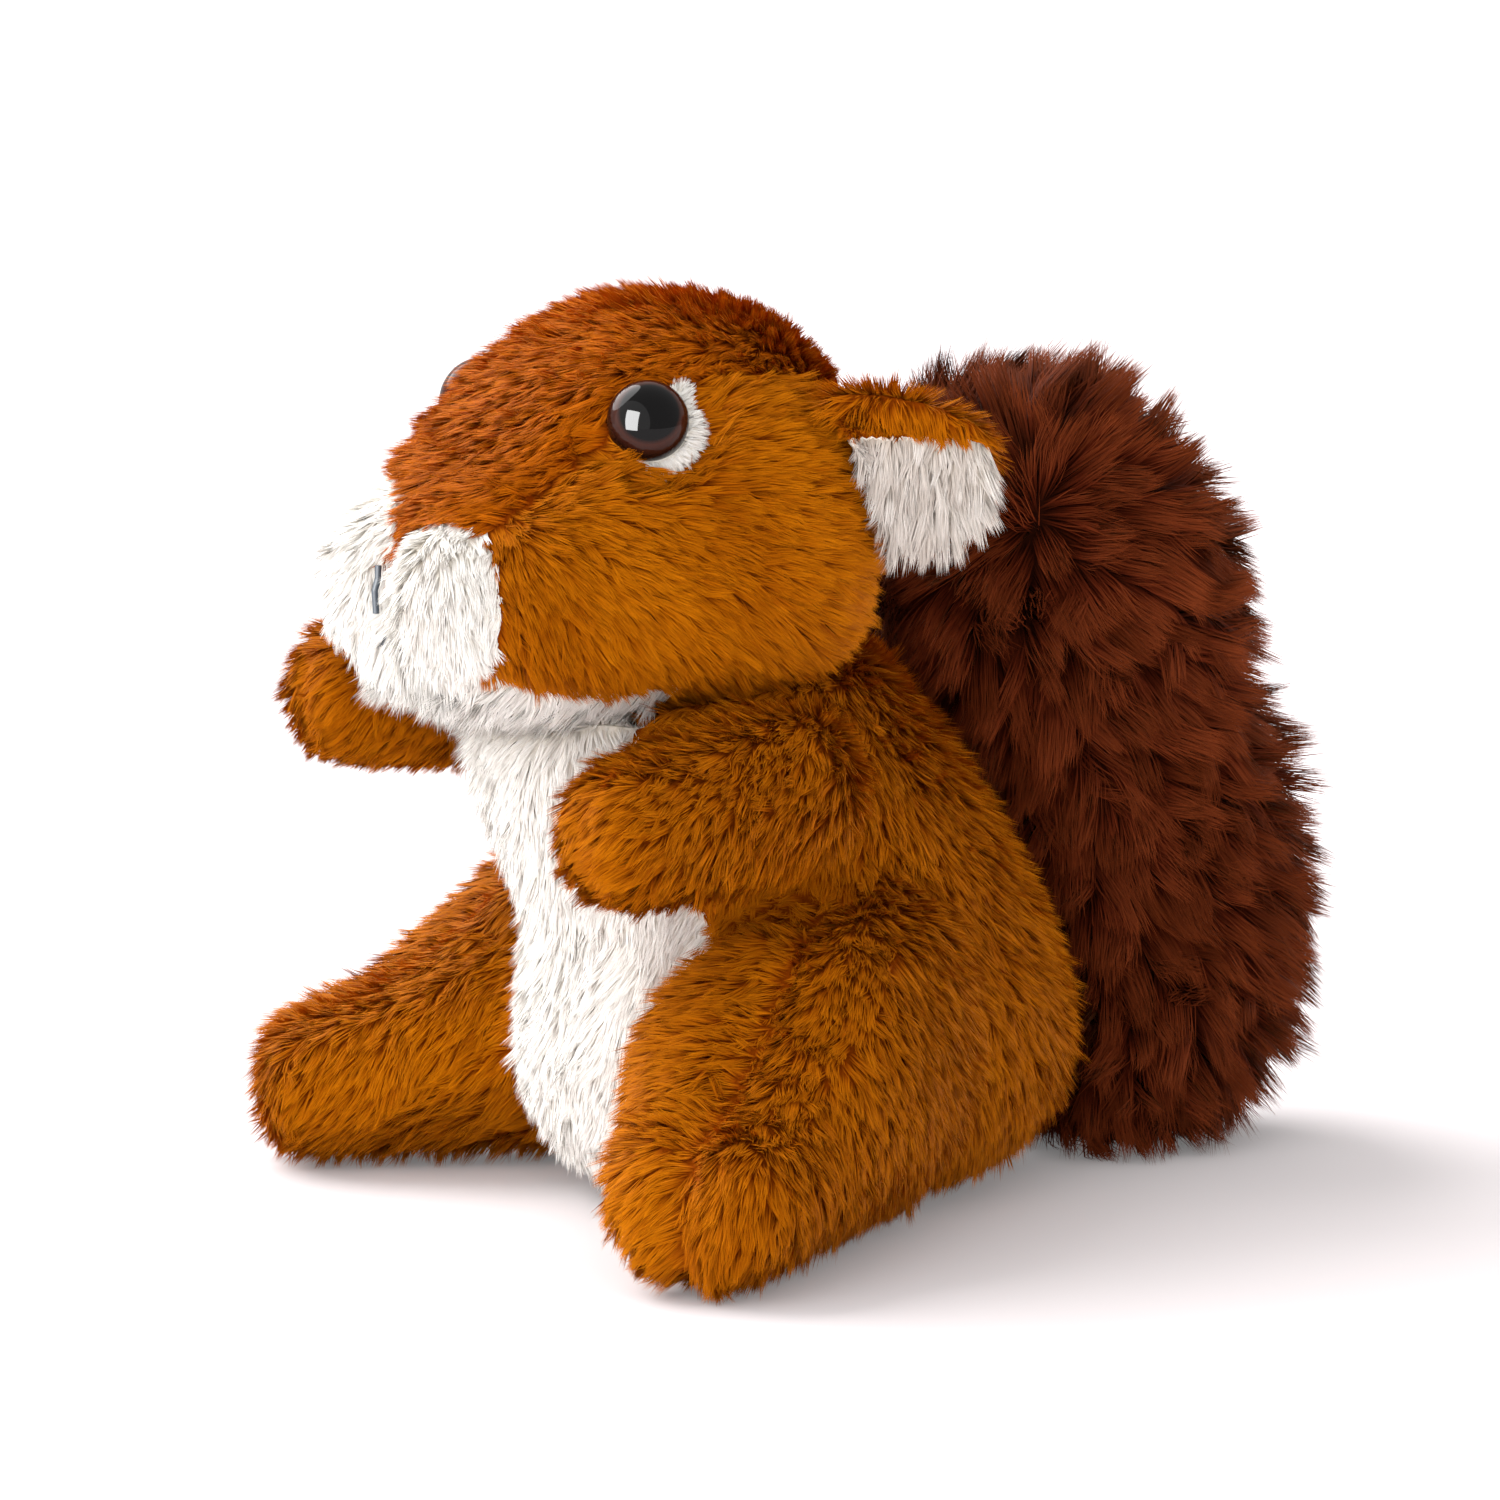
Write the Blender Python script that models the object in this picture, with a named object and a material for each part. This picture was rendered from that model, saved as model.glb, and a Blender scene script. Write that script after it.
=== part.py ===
"""A small plush squirrel that sits upright, in metres, Z up, facing -Y, with its left side at +X.

It is built as the toy is sewn: cloth panels with their pile, as separate shells that meet at seams,
around a stuffing for the head, body, arms and tail, with two moulded eyes that washers lock behind
the cloth. A panel's outer face is the surface that its brushed pile gives, so its thickness is that
of the cloth and the pile together. The origin is the middle of the flat seat.
"""

import math

import bmesh
import bpy
from mathutils import Matrix, Vector

MM = 0.001

# Cloth with its pile, and clearances. A leg opens into the body at HOLLOW, just behind the lining.
SKIN = 3.0 * MM
HEAD_SKIN = 4.5 * MM
TAIL_SKIN = 7.0 * MM
GAP = 0.3 * MM
SEAM_DRAW = 0.55 * GAP
HOLLOW = SKIN + GAP / 3
STUFFING_GAP = 3 * GAP
MERGE = 0.001 * MM
CLOTH_ROUGHNESS = 0.9
EYE_ROUGHNESS = 0.06
WASHER_ROUGHNESS = 0.4

# Body: a pear that leans forwards over its seat, and sinks below it by what the flat seat takes off
BODY_HEIGHT = 76.0 * MM
BODY_WIDTH = 70.0 * MM
BODY_DEPTH = 74.0 * MM
BODY_LEAN = 18.0 * MM
SINK = 3.0 * MM
FOOT_LIFT = 0.2 * MM

# Head: a blunt muzzle in front of full cheeks
HEAD_LENGTH = 64.0 * MM
HEAD_WIDTH = 59.0 * MM
HEAD_HEIGHT = 52.0 * MM
HEAD_BASE = 62.5 * MM
HEAD_OVERHANG = 3.0 * MM
HEAD_FULLNESS = 0.08

# Ears
EAR_LENGTH = 25.0 * MM
EAR_HEIGHT = 24.0 * MM
EAR_THICKNESS = 8.0 * MM
EAR_CUP = 2.5 * MM
EAR_ROOT_DEPTH = 8.0 * MM
EAR_FROM_NOSE = 53.5 * MM
EAR_UP_DEG = 23.0
EAR_SWEEP_DEG = 50.0
EAR_DROOP_DEG = 6.0
EAR_ROLL_DEG = 22.0

# Eyes: domes on shanks
EYE_DIAMETER = 10.0 * MM
EYE_DOME = 3.8 * MM
EYE_RIM = 0.7 * MM
EYE_SINK = 2.6 * MM
EYE_FROM_NOSE = 25.5 * MM
EYE_UP_DEG = 41.0
EYE_AHEAD_DEG = 29.0
EYE_TILT_DEG = 25.0
SHANK_DIAMETER = 2.4 * MM
SHANK_LENGTH = 6.0 * MM
WASHER_DIAMETER = 8.0 * MM
WASHER_THICKNESS = 1.0 * MM
FELT_DIAMETER = 12.6 * MM
FELT_THICKNESS = 0.6 * MM
FELT_SHIFT = 1.4 * MM
CLOTH_AT_EYE = 0.7 * MM

# Stitched nose and mouth
THREAD = 1.2 * MM
NOSE_UP_DEG = 13.0
NOSE_DOWN_DEG = 4.0
MOUTH_DROP_DEG = 4.0
MOUTH_REACH_DEG = 11.0
MOUTH_TURN_DEG = 45.0

# Arms, held out in front, the right one higher
ARM_LENGTH = 42.0 * MM
ARM_WIDTH = 22.5 * MM
ARM_HEIGHT = 24.0 * MM
ARM_SPREAD = 26.5 * MM
LEFT_ARM_FORWARD = 10.5 * MM
RIGHT_ARM_FORWARD = 13.0 * MM
LEFT_SHOULDER = 57.5 * MM
RIGHT_SHOULDER = 63.0 * MM
LEFT_ARM_RISE_DEG = -9.0
RIGHT_ARM_RISE_DEG = 0.0
ARM_SPLAY_DEG = 6.0

# Legs, splayed flat in front. Their soles stand FOOT_LIFT above the seat.
LEG_LENGTH = 64.0 * MM
LEG_WIDTH = 34.0 * MM
LEG_HEIGHT = 45.0 * MM
HIP_SPREAD = 18.0 * MM
HIP_BACK = 4.0 * MM
LEG_SPLAY_DEG = 30.5
LEG_FULLNESS = 0.15
LEG_PINCH = 0.12

# Tail: it rises behind the body, and its top curls into a ball of pile
TAIL_HEIGHT = 103.0 * MM
TAIL_WIDTH = 45.0 * MM
TAIL_DEPTH = 48.0 * MM
TAIL_BACK = 50.0 * MM
TUFT = 1.1 * MM
TUFT_RINGS = 11
TUFT_COLUMNS = 8
TUFT_TWIST = 5

# Colours of the pile, felt, thread, plastic and stuffing, in linear light
CHESTNUT = (0.24, 0.065, 0.008)
GOLDEN = (0.42, 0.145, 0.012)
WHITE = (0.86, 0.83, 0.76)
TAIL_BROWN = (0.09, 0.018, 0.008)
FELT = (0.80, 0.77, 0.70)
THREAD_SLATE = (0.03, 0.035, 0.045)
EYE_BLACK = (0.008, 0.004, 0.004)
WASHER_WHITE = (0.6, 0.6, 0.6)
STUFFING = (0.8, 0.8, 0.8)

# Steps around a turned piece, over an eye's dome, and along half of the mouth
ROUND_STEPS = 16
DOME_STEPS = 4
MOUTH_STEPS = 4

# Segments around a form and rings along it
BODY_GRID = (24, 14)
HEAD_GRID = (24, 16)
LEG_GRID = (16, 12)
ARM_GRID = (12, 10)
TAIL_GRID = (20, 16)
EAR_GRID = (20, 8)
FILLING_GRID = (16, 10)

# Seams, in degrees from a form's first pole, or up around its axis from the side
CROWN_SEAM = 45.0
CROWN_END = 146.25
MUZZLE_SEAM = 33.75
CHIN_SEAM = -45.0
CHIN_END = 90.0
BELLY_SEAM = 45.0
SEAT_EDGE = 25.7

# Where a sheet's edge turns more sharply than this share of a straight one, it isn't drawn in further
SHARPEST = 0.3

HANDS = {"left": 1, "right": -1}
X, Y, Z = Vector((1, 0, 0)), Vector((0, 1, 0)), Vector((0, 0, 1))

# Each shape table has eleven rows, for sections at equal angles from one pole of the form to the other.
# A row gives the section's half-width, its reach ahead and its reach behind, and the shift of its
# centre ahead, as shares of the form's own half-width, reaches and shift.
BODY_TABLE = (
    (0.00, 0.00, 0.00, -0.17),
    (0.44, 0.56, 0.45, -0.08),
    (0.75, 0.87, 0.77, -0.04),
    (0.94, 1.00, 0.97, 0.00),
    (1.00, 1.00, 1.00, 0.06),
    (0.94, 0.95, 0.95, 0.19),
    (0.87, 0.95, 0.88, 0.45),
    (0.79, 0.89, 0.81, 0.74),
    (0.60, 0.65, 0.65, 0.89),
    (0.34, 0.35, 0.35, 1.00),
    (0.00, 0.00, 0.00, 1.00),
)
HEAD_TABLE = (
    (0.00, 0.00, 0.00, 0.29),
    (0.49, 0.17, 0.14, 0.27),
    (0.70, 0.30, 0.21, 0.27),
    (0.79, 0.43, 0.25, 0.27),
    (0.87, 0.55, 0.30, 0.31),
    (0.95, 0.64, 0.33, 0.33),
    (1.00, 0.65, 0.35, 0.35),
    (0.97, 0.59, 0.35, 0.37),
    (0.80, 0.43, 0.32, 0.41),
    (0.48, 0.25, 0.19, 0.43),
    (0.00, 0.00, 0.00, 0.45),
)
LEG_TABLE = (
    (0.00, 0.00, 0.00, 0.40),
    (0.50, 0.34, 0.29, 0.42),
    (0.79, 0.51, 0.44, 0.42),
    (0.95, 0.58, 0.44, 0.42),
    (1.00, 0.56, 0.43, 0.41),
    (1.00, 0.49, 0.41, 0.39),
    (0.93, 0.35, 0.34, 0.32),
    (0.82, 0.26, 0.28, 0.25),
    (0.77, 0.24, 0.26, 0.23),
    (0.52, 0.15, 0.17, 0.23),
    (0.00, 0.00, 0.00, 0.22),
)
TAIL_TABLE = (
    (0.00, 0.00, 0.00, -0.05),
    (0.55, 0.58, 0.58, -0.04),
    (0.77, 0.82, 0.82, 0.02),
    (0.91, 0.96, 0.96, 0.07),
    (0.96, 1.00, 1.00, 0.09),
    (0.92, 0.82, 1.02, 0.05),
    (0.96, 0.72, 1.20, -0.04),
    (1.00, 0.78, 1.08, -0.13),
    (0.92, 0.54, 0.86, -0.22),
    (0.60, 0.42, 0.58, -0.26),
    (0.00, 0.00, 0.00, -0.25),
)
ARM_PROFILE = (0.00, 0.55, 0.85, 1.00, 1.00, 0.97, 0.94, 0.90, 0.80, 0.52, 0.00)
ARM_TABLE = tuple((share, share, share, 0.0) for share in ARM_PROFILE)
EAR_PROFILE = (0.00, 0.56, 0.84, 0.97, 1.00, 0.98, 0.92, 0.82, 0.66, 0.42, 0.00)
EAR_TABLE = tuple((share, math.sqrt(share), math.sqrt(share), 0.0) for share in EAR_PROFILE)


def curve_through(a, b, c, d, t):
    """The Catmull-Rom curve between b and c."""
    return b + (c - a) * t / 2 + (2 * a - 5 * b + 4 * c - d) * t * t / 2 + (3 * b - a - 3 * c + d) * t**3 / 2


class Form:
    """A closed stuffed shape, whose oval sections follow a straight axis from its first pole.

    half_width is measured along side, and reach_ahead and reach_behind along ahead. On its diagonals a
    section is wider by fullness ahead of its middle, and narrower by pinch behind it.
    """

    def __init__(self, table, start, axis, side, ahead, length, half_width, reaches, shift):
        self.table = table
        self.start = start
        self.axis = axis
        self.side = side
        self.ahead = ahead
        self.length = length
        self.half_width = half_width
        self.reach_ahead, self.reach_behind = reaches
        self.shift = shift
        self.tuft = 0.0
        self.fullness = 0.0
        self.pinch = 0.0
        self.lowest = 0.0

    def row(self, polar):
        """The shares at this polar angle, from a smooth curve through the table."""
        place = min(max(polar / math.pi, 0.0), 1.0) * (len(self.table) - 1)
        first = min(int(place), len(self.table) - 2)
        near = [self.table[min(max(first + step, 0), len(self.table) - 1)] for step in (-1, 0, 1, 2)]
        return [curve_through(*column, place - first) for column in zip(*near)]

    def place(self, polar, around):
        """The surface point at a polar angle, and at an angle around the axis from side towards ahead."""
        width, front, back, shift = self.row(polar)
        centre = self.start + self.axis * self.length * (1 - math.cos(polar)) / 2
        rise = math.sin(around)
        reach = front * self.reach_ahead if rise > 0 else back * self.reach_behind
        full = 1 + (self.fullness if rise > 0 else -self.pinch) * math.sin(2 * around) ** 2
        spot = centre + self.ahead * (shift * self.shift + reach * rise * full)
        spot += self.side * width * self.half_width * math.cos(around) * full
        spot.z = max(spot.z, self.lowest)
        return spot

    def mesh(self, segments, rings, offset=0.0):
        """A bmesh of the closed surface, moved outwards by offset, with its place on the unit ball kept."""
        shape = bmesh.new()
        bmesh.ops.create_uvsphere(shape, u_segments=segments, v_segments=rings, radius=1)
        ball = shape.verts.layers.float_vector.new("ball")
        outward = shape.verts.layers.float_vector.new("outward")
        for vert in shape.verts:
            vert[ball] = vert.co
            vert.co = self.place(*angles(vert[ball]))
        if self.side.cross(self.ahead).dot(self.axis) < 0:
            bmesh.ops.reverse_faces(shape, faces=shape.faces)
        shape.normal_update()
        for vert in shape.verts:
            vert[outward] = vert.normal
        for vert in shape.verts:
            vert.co += vert[outward] * (offset + self.tuft_at(*angles(vert[ball])))
        return shape

    def tuft_at(self, polar, around):
        """How far a lock of long pile stands out here."""
        turn = TUFT_COLUMNS * around + TUFT_TWIST * polar
        return self.tuft * math.sin(polar) * math.sin(TUFT_RINGS * polar) * math.cos(turn)


def angles(point):
    """Polar angle from -Z, where a form starts, and angle around from +X, of a point on the unit ball."""
    return math.acos(max(-1.0, min(1.0, -point.z))), math.atan2(point.y, point.x)


def material(name, colour, roughness=CLOTH_ROUGHNESS):
    """A Principled material of one colour."""
    made = bpy.data.materials.new(name)
    made.use_nodes = True
    shader = made.node_tree.nodes["Principled BSDF"]
    shader.inputs["Base Color"].default_value = (*colour, 1.0)
    shader.inputs["Roughness"].default_value = roughness
    shader.inputs["Metallic"].default_value = 0.0
    return made


def add(name, shape, colour, roughness=CLOTH_ROUGHNESS):
    """A named object from a bmesh of one closed surface, which is turned to face outwards."""
    bmesh.ops.recalc_face_normals(shape, faces=shape.faces)
    if shape.calc_volume(signed=True) < 0:
        bmesh.ops.reverse_faces(shape, faces=shape.faces)
    mesh = bpy.data.meshes.new(name)
    shape.to_mesh(mesh)
    shape.free()
    mesh.shade_smooth()
    piece = bpy.data.objects.new(name, mesh)
    mesh.materials.append(material(name, colour, roughness))
    bpy.context.scene.collection.objects.link(piece)
    return piece


def guide(name, shape):
    """A shape that only cuts or joins others."""
    tool = add(name, shape, STUFFING)
    tool.hide_render = True
    tool.display_type = "WIRE"
    return tool


def combine(piece, tool, operation):
    """Joins a guide to a piece, or cuts it away, with a Boolean."""
    step = piece.modifiers.new(f"{operation.lower()} {tool.name}", "BOOLEAN")
    step.operation = operation
    step.solver = "EXACT"
    step.object = tool


def cut(pieces, *tools):
    """Cuts every tool out of every piece."""
    for piece in pieces:
        for tool in tools:
            combine(piece, tool, "DIFFERENCE")


def draw_in(shape, distance):
    """Moves an open sheet's edge inwards along its surface, which leaves half of a seam's gap."""
    pulls = {}
    for edge in shape.edges:
        if not edge.is_boundary:
            continue
        face = edge.link_faces[0]
        along = (edge.verts[1].co - edge.verts[0].co).normalized()
        pull = face.normal.cross(along).normalized()
        middle = (edge.verts[0].co + edge.verts[1].co) / 2
        if pull.dot(face.calc_center_median() - middle) < 0:
            pull.negate()
        for vert in edge.verts:
            pulls.setdefault(vert, []).append(pull)
    for vert, (first, second) in pulls.items():
        vert.co += (first + second) * distance / max(1 + first.dot(second), SHARPEST)


def panel(name, form, grid, zone, colour, skin=SKIN):
    """A cloth panel with its pile: the form's faces whose middles zone accepts, thickened inwards."""
    shape = form.mesh(*grid)
    ball = shape.verts.layers.float_vector["ball"]
    outside = []
    for face in shape.faces:
        middle = sum((vert[ball] for vert in face.verts), Vector()).normalized()
        polar, around = angles(middle)
        if not zone(math.degrees(polar), math.degrees(around)):
            outside.append(face)
    bmesh.ops.delete(shape, geom=outside, context="FACES")
    shape.normal_update()
    draw_in(shape, SEAM_DRAW)
    outward = shape.verts.layers.float_vector["outward"]
    lining = bmesh.ops.extrude_face_region(shape, geom=shape.faces[:], use_keep_orig=True)["geom"]
    for vert in (item for item in lining if isinstance(item, bmesh.types.BMVert)):
        vert.co -= vert[outward] * skin
    return add(name, shape, colour)


def stuffing(name, form, grid, skin=SKIN):
    """The stuffing that a form's cloth holds."""
    return add(name, form.mesh(*grid, offset=-skin - STUFFING_GAP), STUFFING)


def spun(profile, steps):
    """A solid of revolution about Z from a closed profile of (radius, height) points."""
    shape = bmesh.new()
    ring = [shape.verts.new((radius, 0.0, height)) for radius, height in profile]
    edges = [shape.edges.new(pair) for pair in zip(ring, ring[1:])]
    if profile[0][0] > 0:
        edges.append(shape.edges.new((ring[-1], ring[0])))
    bmesh.ops.spin(
        shape, geom=ring + edges, cent=(0, 0, 0), axis=(0, 0, 1), angle=math.tau, steps=steps, use_merge=True
    )
    bmesh.ops.remove_doubles(shape, verts=shape.verts, dist=MERGE)
    return shape


def up_from_side(around):
    """Angle ahead of the side, the same on the left and on the right."""
    return math.degrees(math.asin(math.sin(math.radians(around))))


def one_side(zone, hand):
    """The left half (hand 1) or the right half (hand -1) of a zone."""
    return lambda polar, around: math.cos(math.radians(around)) * hand > 0 and zone(polar, around)


def everywhere(polar, around):
    """A zone without limits."""
    return True


def in_belly(polar, around):
    """Whether a place on the body is in the belly panel, whose lower end is the flat seat."""
    return up_from_side(around) > BELLY_SEAM or polar < SEAT_EDGE


def in_sides(polar, around):
    """Whether a place on the body is in one of the side panels, which meet behind."""
    return not in_belly(polar, around)


def build_forms():
    """The stuffed shapes, before they are cut into panels."""
    body_reaches = (BODY_DEPTH / 2, BODY_DEPTH / 2)
    tail_reaches = (TAIL_DEPTH / 2, TAIL_DEPTH / 2)
    nose = Vector((0, HEAD_OVERHANG - HEAD_LENGTH, HEAD_BASE))
    tail_root = Vector((0, TAIL_BACK, -SINK))
    forms = {
        "body": Form(
            BODY_TABLE, -Z * SINK, Z, X, -Y, BODY_HEIGHT + SINK, BODY_WIDTH / 2, body_reaches, BODY_LEAN
        ),
        "head": Form(
            HEAD_TABLE, nose, Y, X, Z, HEAD_LENGTH, HEAD_WIDTH / 2, (HEAD_HEIGHT, HEAD_HEIGHT), HEAD_HEIGHT
        ),
        "tail": Form(
            TAIL_TABLE, tail_root, Z, X, Y, TAIL_HEIGHT + SINK, TAIL_WIDTH / 2, tail_reaches, TAIL_DEPTH
        ),
    }
    forms["head"].fullness = HEAD_FULLNESS
    forms["tail"].tuft = TUFT
    for name, hand in HANDS.items():
        forms[f"{name}_leg"] = leg_form(hand)
        forms[f"{name}_arm"] = arm_form(hand)
        forms[f"{name}_ear"] = ear_form(hand, forms["head"])
    return forms


def leg_form(hand):
    """A thick thigh that tapers to a blunt foot."""
    splay = math.radians(LEG_SPLAY_DEG)
    along = Vector((hand * math.sin(splay), -math.cos(splay), 0))
    outer = Vector((hand * math.cos(splay), math.sin(splay), 0))
    hip = Vector((hand * HIP_SPREAD, HIP_BACK, 0))
    reaches = (LEG_HEIGHT, LEG_HEIGHT)
    leg = Form(LEG_TABLE, hip, along, outer, Z, LEG_LENGTH, LEG_WIDTH / 2, reaches, LEG_HEIGHT)
    leg.fullness = LEG_FULLNESS
    leg.pinch = LEG_PINCH
    leg.lowest = FOOT_LIFT
    return leg


def arm_form(hand):
    """A plain stuffed tube that tapers to a round paw."""
    splay = math.radians(ARM_SPLAY_DEG)
    rise = math.radians(LEFT_ARM_RISE_DEG if hand > 0 else RIGHT_ARM_RISE_DEG)
    flat = Vector((hand * math.sin(splay), -math.cos(splay), 0))
    along = flat * math.cos(rise) + Z * math.sin(rise)
    above = Z * math.cos(rise) - flat * math.sin(rise)
    outer = Vector((hand * math.cos(splay), math.sin(splay), 0))
    if hand > 0:
        shoulder = Vector((ARM_SPREAD, -LEFT_ARM_FORWARD, LEFT_SHOULDER))
    else:
        shoulder = Vector((-ARM_SPREAD, -RIGHT_ARM_FORWARD, RIGHT_SHOULDER))
    reaches = (ARM_HEIGHT / 2, ARM_HEIGHT / 2)
    return Form(ARM_TABLE, shoulder, along, outer, above, ARM_LENGTH, ARM_WIDTH / 2, reaches, 0.0)


def ear_form(hand, head):
    """A flat round ear that sweeps out and back, rolled so that its back shows along the top."""
    root = head.place(polar_at(head, EAR_FROM_NOSE), math.radians(EAR_UP_DEG))
    root.x *= hand
    sweep = math.radians(EAR_SWEEP_DEG)
    droop = math.radians(EAR_DROOP_DEG)
    along = Vector((hand * math.cos(sweep), math.sin(sweep), -math.tan(droop))).normalized()
    facing = Vector((hand * math.sin(sweep), -math.cos(sweep), 0))
    tall = facing.cross(along) * hand
    roll = math.radians(EAR_ROLL_DEG)
    front = facing * math.cos(roll) - tall * math.sin(roll)
    top = tall * math.cos(roll) + facing * math.sin(roll)
    start = root - along * EAR_ROOT_DEPTH
    length = EAR_LENGTH
    reaches = (EAR_THICKNESS / 2, EAR_THICKNESS / 2)
    return Form(EAR_TABLE, start, along, top, front, length, EAR_HEIGHT / 2, reaches, 0.0)


def polar_at(form, distance):
    """The polar angle of the section at this distance along the form's axis."""
    return math.acos(1 - 2 * distance / form.length)


def in_crown(polar, around):
    """Whether a place on the head is in the top gusset, from the nose to the back of the crown."""
    return up_from_side(around) > CROWN_SEAM and polar < CROWN_END


def in_chin(polar, around):
    """Whether a place on the head is in the chin panel."""
    return up_from_side(around) < CHIN_SEAM and polar < CHIN_END


def in_muzzle(polar, around):
    """Whether a place on the head is in one of the white patches beside the nose."""
    return CHIN_SEAM < up_from_side(around) < CROWN_SEAM and polar < MUZZLE_SEAM


def in_cheeks(polar, around):
    """Whether a place on the head is in one of the cheek panels, which meet behind and below."""
    return not (in_crown(polar, around) or in_chin(polar, around) or in_muzzle(polar, around))


def build_head(head):
    """Crown gusset, cheeks, muzzle patches and chin, and their stuffing."""
    pieces = [
        panel("head_gusset", head, HEAD_GRID, in_crown, CHESTNUT, HEAD_SKIN),
        panel("chin_panel", head, HEAD_GRID, in_chin, WHITE, HEAD_SKIN),
    ]
    for name, hand in HANDS.items():
        pieces += [
            panel(f"{name}_{part}", head, HEAD_GRID, one_side(zone, hand), colour, HEAD_SKIN)
            for part, zone, colour in (
                ("muzzle_patch", in_muzzle, WHITE),
                ("cheek_panel", in_cheeks, GOLDEN),
            )
        ]
    return pieces, stuffing("head_filling", head, FILLING_GRID, HEAD_SKIN)


def build_body(forms):
    """Belly and side panels, each side in one with the outer side of its leg, and the stuffing."""
    body = forms["body"]
    hollow = guide("body_hollow", body.mesh(*BODY_GRID, offset=-HOLLOW))
    envelope = guide("body_envelope", body.mesh(*BODY_GRID, offset=GAP))

    belly = panel("belly_panel", body, BODY_GRID, in_belly, WHITE)
    filling = stuffing("body_filling", body, FILLING_GRID)
    pieces = [belly, filling]
    for name, hand in HANDS.items():
        leg = forms[f"{name}_leg"]
        leg_hollow = guide(f"{name}_leg_hollow", leg.mesh(*LEG_GRID, offset=-HOLLOW))
        leg_envelope = guide(f"{name}_leg_envelope", leg.mesh(*LEG_GRID, offset=GAP))
        side = panel(f"{name}_side_panel", body, BODY_GRID, one_side(in_sides, hand), GOLDEN)
        leg_outer = panel(f"{name}_leg_outer", leg, LEG_GRID, one_side(everywhere, 1), GOLDEN)
        leg_outer.hide_render = True
        leg_outer.display_type = "WIRE"
        leg_inner = panel(f"{name}_leg_inner_panel", leg, LEG_GRID, one_side(everywhere, -1), GOLDEN)
        leg_filling = guide(f"{name}_leg_stuffing", leg.mesh(*FILLING_GRID, offset=-SKIN - STUFFING_GAP))
        cut([leg_outer], hollow)
        cut([leg_inner], envelope)
        cut([side], leg_hollow)
        combine(side, leg_outer, "UNION")
        cut([belly], leg_envelope)
        combine(filling, leg_filling, "UNION")
        pieces += [side, leg_inner]
    return pieces, envelope


def build_arm(name, form):
    """Outer and inner panel of an arm, and its stuffing."""
    return [
        panel(f"{name}_arm_outer_panel", form, ARM_GRID, one_side(everywhere, 1), GOLDEN),
        panel(f"{name}_arm_inner_panel", form, ARM_GRID, one_side(everywhere, -1), GOLDEN),
        stuffing(f"{name}_arm_filling", form, FILLING_GRID),
    ]


def build_tail(form):
    """The tail's two long-pile panels, and its stuffing."""
    pieces = [
        panel(f"{name}_tail_panel", form, TAIL_GRID, one_side(everywhere, hand), TAIL_BROWN, TAIL_SKIN)
        for name, hand in HANDS.items()
    ]
    return pieces + [stuffing("tail_filling", form, FILLING_GRID, TAIL_SKIN + TUFT)]


def build_ear(name, form):
    """White front and brown back of an ear, cupped towards the front."""
    pieces = []
    for part, face, colour in (("front", 1, WHITE), ("back", -1, CHESTNUT)):
        shape = form.mesh(*EAR_GRID)
        bmesh.ops.bisect_plane(
            shape,
            geom=shape.verts[:] + shape.edges[:] + shape.faces[:],
            plane_co=form.start + form.ahead * face * GAP / 2,
            plane_no=form.ahead * face,
            clear_inner=True,
        )
        rim = [edge for edge in shape.edges if edge.is_boundary]
        bmesh.ops.triangle_fill(shape, edges=rim, use_beauty=True)
        for vert in shape.verts:
            across = (vert.co - form.start).dot(form.side) / form.half_width
            vert.co += form.ahead * EAR_CUP * across * across
        pieces.append(add(f"{name}_ear_{part}", shape, colour))
    return pieces


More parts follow.
